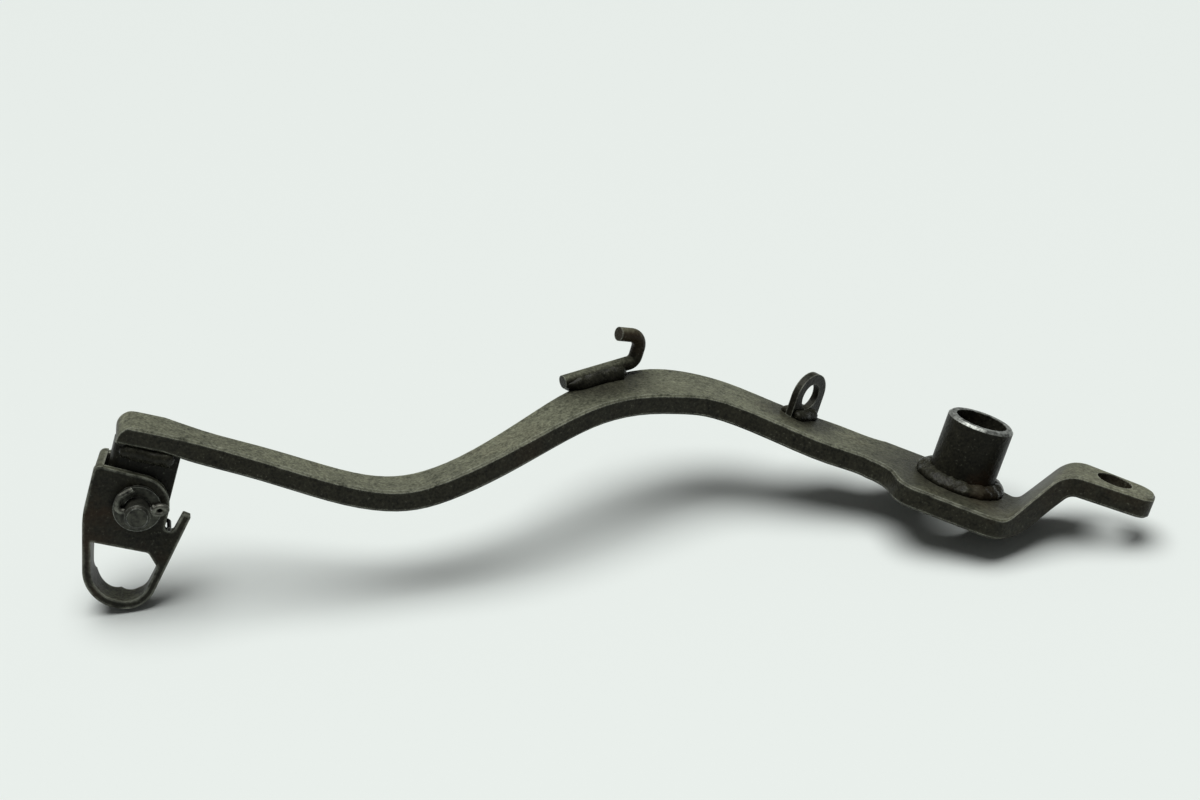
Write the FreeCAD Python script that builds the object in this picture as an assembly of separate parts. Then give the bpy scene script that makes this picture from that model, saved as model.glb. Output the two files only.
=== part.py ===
"""Rear brake pedal of a motorbike: a bent flat-bar arm with a welded pivot sleeve, spring hook,
spring eye and a folding toe piece on a clevis pin.

The pedal is drawn in its own axes, in millimetres: the origin is where the pivot axis meets the
inboard face of the pivot pad, Z runs inboard along the pivot axis, X runs from the toe to the
brake rod and Y points up on the motorbike. It is then turned about that origin to lie with its
outboard side down, as on a bench.
"""
import FreeCAD
import Part
import math
import os
from FreeCAD import Vector

# Arm: flat bar, bent edgewise and flatwise
BAR_T = 7.0                # thickness of the bar
EDGE_BREAK = 0.7           # chamfer on the long edges of the bar
ARM_END_ROUND = 5.5        # rounding of the toe end's inboard corner, in the side view
ARM_END_CORNER = 6.5       # rounding of the toe end's upper corner, in plan
TOE_LEVEL = -46.0          # inboard face of the toe stretch, below the pivot pad
TOE_WIDTH = 11.4           # bar width at the toe

# Stations along the inboard face, between the toe stretch and the pad: x, y, z, width, roll in degrees
ARM_STATIONS = (
    (-243.0, 21.2, TOE_LEVEL, 12.5, 0.0),
    (-223.0, 17.4, TOE_LEVEL, 12.2, 0.0),
    (-204.0, 12.7, TOE_LEVEL, 12.7, 0.0),
    (-188.0, 10.4, -45.8, 13.5, -1.0),
    (-176.0, 10.0, -43.5, 15.0, -3.0),
    (-163.0, 10.6, -36.3, 16.0, -8.0),
    (-149.0, 13.4, -25.6, 15.5, -10.0),
    (-135.0, 19.3, -15.0, 16.0, -10.0),
    (-123.0, 26.0, -8.0, 18.0, -8.0),
    (-108.0, 32.5, -2.6, 21.0, -4.0),
    (-92.0, 37.5, 0.3, 24.0, 0.0),
    (-78.0, 37.0, 1.4, 23.5, 0.0),
    (-64.5, 30.5, 1.5, 21.0, 0.0),
    (-51.0, 24.8, 0.6, 22.5, 0.0),
    (-37.0, 20.0, 0.0, 25.0, 0.0),
)

# Pivot pad and brake rod tongue, in the pad's own axes: d towards the rod, n across it
PAD_HEADING = -29.0        # direction of the pad in plan, degrees
PAD_START = -28.0          # where the bar runs into the pad
PAD_UPPER = 13.6           # upper edge of the pad
PAD_LOWER = -12.2          # lower edge of the bar where it runs into the pad
PAD_LOBE = -25.5           # lower edge of the pad beside the sleeve
LOBE_START = -15.5
LOBE_END = 17.0
LOBE_RAMP = 7.0            # run of the lower edge out to the lobe
LOBE_R = 9.0               # plan roundings
LOBE_END_R = 10.0
NECK_R = 12.0
WAIST_R = 9.0
TONGUE_R = 8.0
NECK_START = 2.5           # where the upper edge draws in
NECK_UPPER = 5.2           # upper edge at the foot of the joggle
FOLD_FOOT = 19.5           # foot of the joggle up to the tongue
FOLD_HEAD = 31.0           # head of the joggle
TONGUE_RISE = 18.3         # tongue's inboard face above the pad's
FOLD_RADIUS = 4.0          # inside radius of both folds
TONGUE_UPPER = 10.0
TONGUE_LOWER = -9.8
TONGUE_END = 60.0
NOSE_UPPER = 8.4
NOSE_LOWER = -5.4
NOSE_UPPER_R = 6.4
NOSE_LOWER_R = 5.4
ROD_HOLE_D = 11.6
ROD_HOLE_AT = (46.3, 1.8)

# Pivot sleeve
SLEEVE_OD = 22.0
SLEEVE_WALL = 2.5
SLEEVE_TOP = 22.0          # inboard end above the pad
SLEEVE_FOOT = 3.0          # outboard end below the pad
SLEEVE_CHAMFER = 0.8
SLEEVE_WELD_LEG = 3.2      # leg length of the fillet weld
WELD_SEAT = 0.02           # play between welded faces
WELD_CROWN = 0.62          # middle of a fillet weld's face, as a share of its leg

# Spring hook of round rod, lying along the upper edge of the arm
HOOK_D = 4.0
HOOK_X = -129.3            # free end of the leg
HOOK_Y = 34.0
HOOK_Z = -7.0
HOOK_HEADING = 22.5
HOOK_LEG = (25.8, 9.2)     # run and rise of the leg
HOOK_STAND = 9.2           # upright height
HOOK_MOUTH = 8.8           # run of the curl back over the leg
HOOK_TIP = 2.8             # drop of the curl's tip
HOOK_BEND = 4.3            # bend radius of the curl
HOOK_TIP_BEND = 2.7
HOOK_FOOT_BEND = 3.0
HOOK_WELD_D = 6.4
HOOK_WELD_SPAN = (0.2, 0.78)  # ends of the bead, as shares of the leg
HOOK_WELD_IN = (0.6, -0.9)    # bead's middle beside the leg, towards the arm
HOOK_WELD_DROP = 2.2

# Spring eye, a flat lug standing across the arm
EYE_AT = (-47.6, 31.6)
EYE_HEADING = 38.0
EYE_WIDTH = 16.0
EYE_T = 2.5
EYE_HOLE_D = 9.0
EYE_HOLE_RISE = 7.8        # hole centre above the pad's face
EYE_SUNK = 1.0             # foot of the blank, before it is cut to the arm's face
EYE_WELD_D = 4.4
EYE_WELD_RISE = 0.7        # beads' middle above the pad's face and beside the lug
EYE_WELD_OUT = 0.6
EYE_WELD_ENDS = (1.5, 4.5)    # beads' ends, in from the lug's edges

# Toe hinge: pin along Y
PIN_D = 8.0
PIN_X = -254.6
PIN_DROP = 18.2            # pin axis below the arm's outboard face
PIN_HEAD_D = 12.0
PIN_HEAD_T = 2.5
PIN_TAIL = 7.0             # pin past the washer
PIN_CHAMFER = 0.8
RUNNING_FIT = 0.06         # radial clearance on the pin
SIDE_PLAY = 0.15           # play along the pin

# Toe bracket, a bent sheet clevis under the arm's end
BRACKET_T = 2.2
BRACKET_WIDTH = 10.4       # across both legs
BRACKET_FRONT = 11.2       # web's outer face in front of the pin
BRACKET_REAR = 9.5         # legs' free edge behind the pin
BRACKET_BEND = 3.0
TOE_Y = 22.6               # middle of the bracket and of the arm's end
BRACKET_WELD_R = 2.2
BRACKET_WELD_DROP = 0.9    # beads' middle below the arm

# Toe piece, pressed from sheet: two ears, a front wall and a scalloped rim
TREAD_T = 2.6
TREAD_PLAY = 0.3           # front wall to bracket, and ear to bracket
WALL_LEAN = 1.6            # front wall and rim lean in this much towards the upper ear
EAR_R = 9.8                # lower ear, about the pin
EAR_TOP = 11.0             # front wall above the pin
EAR_TOP_R = 2.0
UPPER_EAR_R = 4.0          # front upper corner of the upper ear
LOOP_TOP = -14.6           # upper end of the loop's opening
LOOP_BOTTOM = -35.4
LOOP_FRONT = -9.5          # front lower corner before rounding
LOOP_REAR = 10.0           # rear lower corner before rounding
LOOP_FRONT_R = 13.5
LOOP_REAR_R = 10.0
LOOP_SHOULDER = (10.8, -19.1)  # rear upper corner of the opening, cut off
LOOP_SHOULDER_START = 6.8
LOOP_SHOULDER_R = (3.0, 2.0)
LOOP_SIDE = (0.6, 6.0, 8.0)    # front edge of the opening: step in, drop and rounding
LOOP_CORNER_R = 1.0
WALL_KNEE = -7.0           # where the front wall starts to slant
WALL_KNEE_R = 30.0
WALL_FOOT = -4.6           # below this the wall runs out as the rim
RIM_DEPTH = 12.5           # height of the rim, from the lower ear's face
RIM_REAR_DEPTH = 4.0       # rim height behind the loop
RIM_REAR_TOP = -18.6       # rear end of the rim, below the pin
RIM_REAR_LEAN = 2.9        # rear wall leans out this much up to there
RIM_FALL = (2.5, 16.0)     # where the rim falls to its rear height
SCALLOP_R = 6.0
SCALLOP_DEPTH = 3.4
SCALLOP_RISE = -13.0       # first scallop, in the front wall
SCALLOP_MIDDLE = (-11.0, -25.5)
SCALLOP_LOW = (-2.5, 8.0)  # scallops in the lower wall
TAB_TOP = 0.3              # end of the spring tab, above the pin
TAB_OUT = 16.9             # tab's rear face behind the pin
TAB_R = 0.5
NOTCH_R = 1.2              # spring notch between ear and tab
NOTCH_W = 2.88

# Plain washer and split pin
WASHER_OD = 15.0
WASHER_BORE = 8.4
WASHER_T = 1.5
SPLIT_D = 1.8
SPLIT_HOLE_D = 2.0
SPLIT_EYE_OUT = 6.55       # eye's middle beside the pin axis
SPLIT_EYE_R = 1.6
SPLIT_LEG = ((-6.4, 0.0, 1.6), (-5.6, 4.6, 2.4), (-1.2, 7.2, 0.0))  # bent leg: along, rise, bend
SPLIT_TURN = 14.0          # split pin's turn about the pin, degrees

# Torsion spring round the pin
SPRING_WIRE_D = 1.4
SPRING_MEAN_D = 10.4
SPRING_TURNS = 2
SPRING_PITCH = 1.5
SPRING_LEG_RISE = 9.0      # bend of the holding leg above the pin
SPRING_TIP_RISE = 12.5     # tip of the holding leg above the pin
SPRING_HOLD_BEND = 2.0
SPRING_WORK_BEND = 1.2
SPRING_OVER = 0.4          # working leg past the lower ear

# Lying on a flat surface: the direction that points straight up, in the pedal's axes
LYING_UP = Vector(-0.355, -0.148, 0.923)

X_AXIS = Vector(1, 0, 0)
Y_AXIS = Vector(0, 1, 0)
Z_AXIS = Vector(0, 0, 1)

# Values worked out from the ones above
ARM_UNDER = TOE_LEVEL - BAR_T
PIN_Z = ARM_UNDER - PIN_DROP
ARM_END_X = PIN_X - BRACKET_FRONT
SLEEVE_ID = SLEEVE_OD - 2 * SLEEVE_WALL
HOOK_START = Vector(HOOK_X, HOOK_Y, HOOK_Z)
PIN_R = PIN_D / 2
LOW_LEG = TOE_Y - BRACKET_WIDTH / 2
HIGH_LEG = TOE_Y + BRACKET_WIDTH / 2
EAR_FACE = LOW_LEG - TREAD_PLAY - TREAD_T
HIGH_EAR = HIGH_LEG + TREAD_PLAY
WALL_OUT = BRACKET_FRONT + TREAD_PLAY + TREAD_T + WALL_LEAN
NOTCH_FLOOR = -(SPRING_MEAN_D + SPRING_WIRE_D) / 2 - RUNNING_FIT
NOTCH_END = EAR_R + NOTCH_W
WASHER_FACE = EAR_FACE - SIDE_PLAY - WASHER_T
SPLIT_Y = WASHER_FACE - SIDE_PLAY - SPLIT_D / 2
PIN_END = WASHER_FACE - PIN_TAIL
PIN_HEAD_FACE = HIGH_EAR + TREAD_T + SIDE_PLAY


def turned(vector, degrees):
    """A vector turned about Z."""
    angle = math.radians(degrees)
    return Vector(
        vector.x * math.cos(angle) - vector.y * math.sin(angle),
        vector.x * math.sin(angle) + vector.y * math.cos(angle),
        vector.z,
    )


def unit(vector):
    """The vector's direction."""
    return vector / vector.Length


def rounded_edges(corners, closed):
    """Lines joined by tangent arcs through corners, each a point and its rounding radius."""
    count = len(corners)
    stops = []
    for index, (point, radius) in enumerate(corners):
        at_end = not closed and index in (0, count - 1)
        if radius == 0 or at_end:
            stops.append((point, None, point))
            continue
        before = unit(corners[index - 1][0] - point)
        after = unit(corners[(index + 1) % count][0] - point)
        half = before.getAngle(after) / 2
        reach = radius / math.tan(half)
        centre = point + unit(before + after) * (radius / math.sin(half))
        middle = centre + unit(point - centre) * radius
        stops.append((point + before * reach, middle, point + after * reach))
    edges = []
    for index, (start, middle, end) in enumerate(stops):
        if middle is not None:
            edges.append(Part.Arc(start, middle, end).toShape())
        if index + 1 < count or closed:
            following = stops[(index + 1) % count][0]
            if (following - end).Length > 1e-6:
                edges.append(Part.LineSegment(end, following).toShape())
    return edges


def flat_face(corners, place):
    """A face from an outline of (u, v, radius), put in space by place(u, v)."""
    points = [(place(u, v), radius) for u, v, radius in corners]
    return Part.Face(Part.Wire(rounded_edges(points, True)))


def rod_along(edges, diameter):
    """A round rod along a chain of lines and arcs."""
    runs = []
    for edge in edges:
        start = edge.valueAt(edge.FirstParameter)
        heading = edge.tangentAt(edge.FirstParameter)
        disc = Part.Face(Part.Wire(Part.makeCircle(diameter / 2, start, heading)))
        if edge.Curve.TypeId == "Part::GeomCircle":
            angle = math.degrees(edge.LastParameter - edge.FirstParameter)
            runs.append(disc.revolve(edge.Curve.Center, edge.Curve.Axis, angle))
        else:
            runs.append(disc.extrude(heading * edge.Length))
    return runs[0].fuse(runs[1:]) if len(runs) > 1 else runs[0]


def round_rod(corners, diameter):
    """A round rod along straight runs and bends."""
    return rod_along(rounded_edges(corners, False), diameter)


def bored(outer, bore, bottom, top, axis_point, axis):
    """A plain ring between two levels along an axis."""
    start = axis_point + axis * bottom
    ring = Part.makeCylinder(outer / 2, top - bottom, start, axis)
    return ring.cut(Part.makeCylinder(bore / 2, top - bottom, start, axis))


def largest(shape):
    """The biggest solid of a shape."""
    return max(shape.Solids, key=lambda solid: solid.Volume)


def pad_to_pedal(shape):
    """Turn a shape from the pad's axes into the pedal's."""
    result = shape.copy()
    result.rotate(Vector(0, 0, 0), Z_AXIS, PAD_HEADING)
    return result


def bar_section(point, tangent, width, roll):
    """The bar's cross-section, with broken edges, its inboard face centred on the point."""
    normal = unit(Z_AXIS - tangent * tangent.dot(Z_AXIS))
    across = normal.cross(tangent)
    tilt = math.radians(roll)
    side = across * math.cos(tilt) + normal * math.sin(tilt)
    face = normal * math.cos(tilt) - across * math.sin(tilt)
    half = width / 2
    cut = EDGE_BREAK
    outline = (
        (half - cut, 0), (half, -cut), (half, cut - BAR_T), (half - cut, -BAR_T),
        (cut - half, -BAR_T), (-half, cut - BAR_T), (-half, -cut), (cut - half, 0),
    )
    points = [point + side * u + face * v for u, v in outline]
    return Part.makePolygon(points + points[:1])


def front_bar():
    """The bent bar from the toe end to the pivot pad."""
    pad_middle = (PAD_UPPER + PAD_LOWER) / 2
    pad_width = PAD_UPPER - PAD_LOWER
    pad_direction = turned(X_AXIS, PAD_HEADING)
    stations = [(Vector(ARM_END_X, TOE_Y, TOE_LEVEL), TOE_WIDTH, 0.0)]
    stations += [(Vector(x, y, z), width, roll) for x, y, z, width, roll in ARM_STATIONS]
    stations.append((turned(Vector(PAD_START, pad_middle, 0), PAD_HEADING), pad_width, 0.0))
    sections = []
    for index, (point, width, roll) in enumerate(stations):
        if index == len(stations) - 1:
            tangent = pad_direction
        elif index == 0:
            tangent = X_AXIS
        else:
            tangent = unit(stations[index + 1][0] - stations[index - 1][0])
        sections.append(bar_section(point, tangent, width, roll))
    return Part.makeLoft(sections, True, False)


def rear_plate():
    """The pivot pad, the joggle and the brake rod tongue, from one strip cut to its outline."""
    angle = math.atan2(TONGUE_RISE, FOLD_HEAD - FOLD_FOOT)
    shift = BAR_T * math.tan(angle / 2)
    outer_bend = FOLD_RADIUS + BAR_T
    low = TONGUE_RISE - BAR_T
    profile = (
        (PAD_START, 0, 0), (FOLD_FOOT, 0, FOLD_RADIUS), (FOLD_HEAD, TONGUE_RISE, outer_bend),
        (TONGUE_END, TONGUE_RISE, 0), (TONGUE_END, low, 0), (FOLD_HEAD + shift, low, FOLD_RADIUS),
        (FOLD_FOOT + shift, -BAR_T, outer_bend), (PAD_START, -BAR_T, 0),
    )
    margin = BAR_T
    breadth = PAD_UPPER - PAD_LOBE + 2 * margin
    strip = flat_face(profile, lambda d, z: Vector(d, PAD_LOBE - margin, z)).extrude(Y_AXIS * breadth)
    outline = (
        (PAD_START, PAD_UPPER, 0), (NECK_START, PAD_UPPER, NECK_R), (FOLD_FOOT, NECK_UPPER, WAIST_R),
        (FOLD_HEAD, TONGUE_UPPER, WAIST_R), (TONGUE_END, NOSE_UPPER, NOSE_UPPER_R),
        (TONGUE_END, NOSE_LOWER, NOSE_LOWER_R), (FOLD_HEAD, TONGUE_LOWER, TONGUE_R),
        (LOBE_END, PAD_LOBE, LOBE_END_R), (LOBE_START, PAD_LOBE, LOBE_R),
        (LOBE_START - LOBE_RAMP, PAD_LOWER, LOBE_R), (PAD_START, PAD_LOWER, 0),
    )
    bottom = -BAR_T - margin
    height = TONGUE_RISE + BAR_T + 2 * margin
    blank = flat_face(outline, lambda d, n: Vector(d, n, bottom)).extrude(Z_AXIS * height)
    plate = largest(strip.common(blank))
    rims = []
    for edge in plate.Edges:
        sides = plate.ancestorsOfType(edge, Part.Face)
        normals = [face.normalAt(0, 0) for face in sides]
        upright = [abs(normal.z) < 1e-6 and abs(normal.x + 1) > 1e-6 for normal in normals]
        at_bar = all(abs(vertex.X - PAD_START) < 1e-6 for vertex in edge.Vertexes)
        if sorted(upright) == [False, True] and not at_bar:
            rims.append(edge)
    plate = plate.makeChamfer(EDGE_BREAK, rims)
    d, n = ROD_HOLE_AT
    hole = Part.makeCylinder(ROD_HOLE_D / 2, height, Vector(d, n, bottom))
    return pad_to_pedal(plate.cut(hole))


def make_arm():
    """The pedal arm, one bar from the toe to the brake rod."""
    arm = front_bar().fuse(rear_plate())
    bore = Part.makeCylinder(SLEEVE_OD / 2 + WELD_SEAT, 4 * BAR_T, Vector(0, 0, -2 * BAR_T))
    arm = arm.cut(bore)
    edge = Part.makeBox(ARM_END_ROUND, 2 * TOE_WIDTH, ARM_END_ROUND)
    edge.translate(Vector(ARM_END_X, TOE_Y - TOE_WIDTH, TOE_LEVEL - ARM_END_ROUND))
    centre = Vector(ARM_END_X + ARM_END_ROUND, TOE_Y - TOE_WIDTH, TOE_LEVEL - ARM_END_ROUND)
    edge = edge.cut(Part.makeCylinder(ARM_END_ROUND, 2 * TOE_WIDTH, centre, Y_AXIS))
    upper = TOE_Y + TOE_WIDTH / 2
    corner = Part.makeBox(ARM_END_CORNER, ARM_END_CORNER, 2 * BAR_T)
    corner.translate(Vector(ARM_END_X, upper - ARM_END_CORNER, ARM_UNDER))
    centre = Vector(ARM_END_X + ARM_END_CORNER, upper - ARM_END_CORNER, ARM_UNDER)
    corner = corner.cut(Part.makeCylinder(ARM_END_CORNER, 2 * BAR_T, centre))
    return largest(arm.cut([edge, corner]).removeSplitter())


def make_sleeve():
    """The pivot tube, chamfered at both ends."""
    bottom = -BAR_T - SLEEVE_FOOT
    outer = SLEEVE_OD / 2
    inner = SLEEVE_ID / 2
    cut = SLEEVE_CHAMFER
    profile = (
        (inner, bottom, 0), (outer - cut, bottom, 0), (outer, bottom + cut, 0),
        (outer, SLEEVE_TOP - cut, 0), (outer - cut, SLEEVE_TOP, 0), (inner, SLEEVE_TOP, 0),
    )
    return flat_face(profile, lambda r, z: Vector(r, 0, z)).revolve(Vector(0, 0, 0), Z_AXIS, 360)


def make_sleeve_weld():
    """The fillet weld round the foot of the sleeve, slightly convex."""
    inner = SLEEVE_OD / 2 + WELD_SEAT
    crown = WELD_CROWN * SLEEVE_WELD_LEG
    profile = (
        (inner, WELD_SEAT, 0), (inner + SLEEVE_WELD_LEG, WELD_SEAT, 0), (inner + crown, crown, 0),
        (inner, SLEEVE_WELD_LEG, 0),
    )
    return flat_face(profile, lambda r, z: Vector(r, 0, z)).revolve(Vector(0, 0, 0), Z_AXIS, 360)


def hook_point(run, rise):
    """A point in the hook's upright plane."""
    return HOOK_START + turned(X_AXIS, HOOK_HEADING) * run + Z_AXIS * rise


def make_hook():
    """The spring hook: a leg along the arm's edge, turned up and curled back."""
    run, rise = HOOK_LEG
    top = rise + HOOK_STAND
    corners = [
        (hook_point(0, 0), 0),
        (hook_point(run, rise), HOOK_FOOT_BEND),
        (hook_point(run, top), HOOK_BEND),
        (hook_point(run - HOOK_MOUTH, top), HOOK_TIP_BEND),
        (hook_point(run - HOOK_MOUTH, top - HOOK_TIP), 0),
    ]
    return round_rod(corners, HOOK_D)


def make_hook_weld(arm, hook):
    """The bead that fixes the hook's leg to the arm."""
    run, rise = HOOK_LEG
    start, end = HOOK_WELD_SPAN
    drop = Vector(HOOK_WELD_IN[0], HOOK_WELD_IN[1], -HOOK_WELD_DROP)
    corners = [
        (hook_point(run * start, rise * start) + drop, 0),
        (hook_point(run * end, rise * end) + drop, 0),
    ]
    bead = round_rod(corners, HOOK_WELD_D)
    return largest(bead.cut(arm).cut(hook))


def eye_place(along, rise, out):
    """A point on the spring eye: along its width, up, and across its thickness."""
    offset = turned(Vector(along, out, 0), EYE_HEADING)
    return Vector(EYE_AT[0], EYE_AT[1], rise) + offset


def make_eye(arm):
    """The spring eye, a lug with a round top and a hole."""
    half = EYE_WIDTH / 2
    top = EYE_HOLE_RISE + half
    outline = ((-half, -EYE_SUNK, 0), (half, -EYE_SUNK, 0), (half, top, half), (-half, top, half - 0.001))
    back = EYE_T / 2
    lug = flat_face(outline, lambda u, v: eye_place(u, v, -back))
    lug = lug.extrude(turned(Y_AXIS, EYE_HEADING) * EYE_T)
    start = eye_place(0, EYE_HOLE_RISE, -EYE_T)
    hole = Part.makeCylinder(EYE_HOLE_D / 2, 2 * EYE_T, start, turned(Y_AXIS, EYE_HEADING))
    return largest(lug.cut(hole).cut(arm))


def make_eye_weld(arm, eye):
    """Two beads along the foot of the spring eye."""
    beads = []
    start, end = EYE_WELD_ENDS
    for side in (-1, 1):
        out = side * (EYE_T / 2 + EYE_WELD_OUT)
        ends = [
            (eye_place(start - EYE_WIDTH / 2, EYE_WELD_RISE, out), 0),
            (eye_place(EYE_WIDTH / 2 - end, EYE_WELD_RISE, out), 0),
        ]
        beads.append(largest(round_rod(ends, EYE_WELD_D).cut(arm).cut(eye)))
    return Part.makeCompound(beads)


def toe_place(along, rise, y):
    """A point of the toe hinge, from the pin's axis."""
    return Vector(PIN_X + along, y, PIN_Z + rise)


def pin_hole(radius):
    """A long round cutter along the pin."""
    return Part.makeCylinder(radius, 4 * BRACKET_WIDTH, toe_place(0, 0, TOE_Y - 2 * BRACKET_WIDTH), Y_AXIS)


def make_bracket():
    """The clevis under the arm's end: two legs and a front web, bent from sheet."""
    top = PIN_DROP - WELD_SEAT
    side = (
        (-BRACKET_FRONT, top, 0), (-BRACKET_FRONT, -BRACKET_REAR, BRACKET_REAR),
        (BRACKET_REAR, -BRACKET_REAR, BRACKET_REAR - 0.01), (BRACKET_REAR, top, 0),
    )
    block = flat_face(side, lambda u, v: toe_place(u, v, LOW_LEG)).extrude(Y_AXIS * BRACKET_WIDTH)

    def plan(front, low, high, bend):
        """An upright channel, open towards the rear."""
        corners = (
            (front, low, bend), (2 * BRACKET_REAR, low, 0), (2 * BRACKET_REAR, high, 0), (front, high, bend - 0.01),
        )
        face = flat_face(corners, lambda u, y: toe_place(u, -2 * BRACKET_REAR, y))
        return face.extrude(Z_AXIS * (PIN_DROP + 4 * BRACKET_REAR))

    outer = plan(-BRACKET_FRONT, LOW_LEG, HIGH_LEG, BRACKET_BEND)
    inner = plan(
        BRACKET_T - BRACKET_FRONT, LOW_LEG + BRACKET_T, HIGH_LEG - BRACKET_T, BRACKET_BEND - BRACKET_T
    )
    return largest(block.common(outer).cut(inner).cut(pin_hole(PIN_R + RUNNING_FIT)))


def make_bracket_weld():
    """Beads along the upper ends of the bracket's legs."""
    beads = []
    length = BRACKET_FRONT + BRACKET_REAR - 2 * BRACKET_BEND
    for leg, outward in ((LOW_LEG, -1), (HIGH_LEG, 1)):
        start = toe_place(BRACKET_BEND - BRACKET_FRONT, PIN_DROP - BRACKET_WELD_DROP, leg + outward * WELD_SEAT)
        bead = Part.makeCylinder(BRACKET_WELD_R, length, start, X_AXIS)
        keep = Part.makeBox(length, BRACKET_WELD_R, 2 * BRACKET_WELD_R)
        low_y = start.y if outward > 0 else start.y - BRACKET_WELD_R
        keep.translate(Vector(start.x, low_y, ARM_UNDER - WELD_SEAT - 2 * BRACKET_WELD_R))
        beads.append(largest(bead.common(keep)))
    return Part.makeCompound(beads)


def loop_corners(extra):
    """The toe loop's outline, drawn in by extra on every side."""
    slant = (WALL_OUT + LOOP_FRONT) / (WALL_KNEE - LOOP_BOTTOM)
    lean = (TAB_OUT - LOOP_REAR) / (TAB_TOP - LOOP_BOTTOM)
    front = LOOP_FRONT + extra * (math.hypot(1, slant) - slant)
    rear = LOOP_REAR - extra * (math.hypot(1, lean) - lean)
    bottom = LOOP_BOTTOM + extra
    knee = extra - WALL_OUT
    return front, rear, bottom, knee


def make_tread():
    """The folding toe piece: lower ear with tab and loop, front wall, scalloped rim, upper ear."""
    front, rear, bottom, knee = loop_corners(0)
    lower_outline = (
        (knee, EAR_TOP, EAR_TOP_R), (knee, WALL_KNEE, WALL_KNEE_R), (front, bottom, LOOP_FRONT_R),
        (rear, bottom, LOOP_REAR_R), (TAB_OUT, TAB_TOP, TAB_R), (TAB_OUT - TREAD_T, TAB_TOP + TAB_R, TAB_R),
        (NOTCH_END, NOTCH_FLOOR, NOTCH_R), (EAR_R, NOTCH_FLOOR, NOTCH_R - 0.05),
        (EAR_R, EAR_R, EAR_R - 0.05),
    )
    ear = flat_face(lower_outline, lambda u, v: toe_place(u, v, EAR_FACE)).extrude(Y_AXIS * TREAD_T)

    i_front, i_rear, i_bottom, i_knee = loop_corners(TREAD_T)
    step, drop, side_r = LOOP_SIDE
    low_r, high_r = LOOP_SHOULDER_R
    opening_outline = (
        (i_knee, LOOP_TOP, LOOP_CORNER_R), (i_knee + step, LOOP_TOP - drop, side_r),
        (i_front, i_bottom, LOOP_FRONT_R - TREAD_T), (i_rear, i_bottom, LOOP_REAR_R - TREAD_T),
        LOOP_SHOULDER + (low_r,), (LOOP_SHOULDER_START, LOOP_TOP, high_r),
    )
    opening = flat_face(opening_outline, lambda u, v: toe_place(u, v, EAR_FACE - TREAD_T))
    opening = opening.extrude(Y_AXIS * (4 * TREAD_T + RIM_DEPTH))

    deep = HIGH_EAR + TREAD_T - EAR_FACE
    end, beyond = rear + RIM_REAR_LEAN, 2 * TAB_OUT
    rim_outline = (
        (knee, EAR_TOP, EAR_TOP_R), (knee, WALL_KNEE, WALL_KNEE_R), (front, bottom, LOOP_FRONT_R),
        (rear, bottom, LOOP_REAR_R), (end, RIM_REAR_TOP, 0), (end, EAR_TOP, 0),
    )
    inner_outline = (
        (i_knee, 2 * EAR_TOP, 0), (i_knee, WALL_KNEE, WALL_KNEE_R - TREAD_T),
        (i_front, i_bottom, LOOP_FRONT_R - TREAD_T), (i_rear, i_bottom, LOOP_REAR_R - TREAD_T),
        (i_rear + RIM_REAR_LEAN, RIM_REAR_TOP, 0), (beyond, RIM_REAR_TOP, 0), (beyond, 2 * EAR_TOP, 0),
    )
    slant = Vector(WALL_LEAN, deep, 0)
    rim = flat_face(rim_outline, lambda u, v: toe_place(u, v, EAR_FACE)).extrude(slant)
    rim = rim.cut(flat_face(inner_outline, lambda u, v: toe_place(u, v, EAR_FACE)).extrude(slant))

    # The rim is full height only beside the bracket; below it is lower and tapers to the rear
    crest = EAR_FACE + RIM_DEPTH
    low, far = EAR_FACE + RIM_REAR_DEPTH, EAR_FACE + 2 * deep
    fall_start, fall_end = RIM_FALL
    taper = (
        (-2 * WALL_OUT, crest, 0), (fall_start, crest, 0), (fall_end, low, 0), (beyond, low, 0),
        (beyond, far, 0), (-2 * WALL_OUT, far, 0),
    )
    above = flat_face(taper, lambda u, y: toe_place(u, 2 * LOOP_BOTTOM, y))
    rim = rim.cut(above.extrude(Z_AXIS * (WALL_FOOT - 2 * LOOP_BOTTOM)))
    scallops = [(-WALL_OUT, SCALLOP_RISE), SCALLOP_MIDDLE] + [(u, bottom) for u in SCALLOP_LOW]
    for u, v in scallops:
        outward = unit(Vector(u, 0, v - LOOP_TOP))
        start = toe_place(0, LOOP_TOP, crest + SCALLOP_R - SCALLOP_DEPTH)
        rim = rim.cut(Part.makeCylinder(SCALLOP_R, -2 * LOOP_BOTTOM, start, outward))

    upper_front = knee + WALL_LEAN
    upper_outline = (
        (upper_front, EAR_TOP, UPPER_EAR_R), (upper_front, -EAR_R, EAR_R), (EAR_R, -EAR_R, EAR_R - 0.05),
        (EAR_R, EAR_R, EAR_R - 0.1),
    )
    upper = flat_face(upper_outline, lambda u, v: toe_place(u, v, HIGH_EAR)).extrude(Y_AXIS * TREAD_T)
    body = ear.cut(opening).fuse([rim, upper]).cut(pin_hole(PIN_R + RUNNING_FIT))
    return largest(body.removeSplitter())


def split_turned(shape):
    """Turn the split pin, or its hole, about the hinge pin."""
    result = shape.copy()
    result.rotate(toe_place(0, 0, 0), Y_AXIS, -SPLIT_TURN)
    return result


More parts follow.
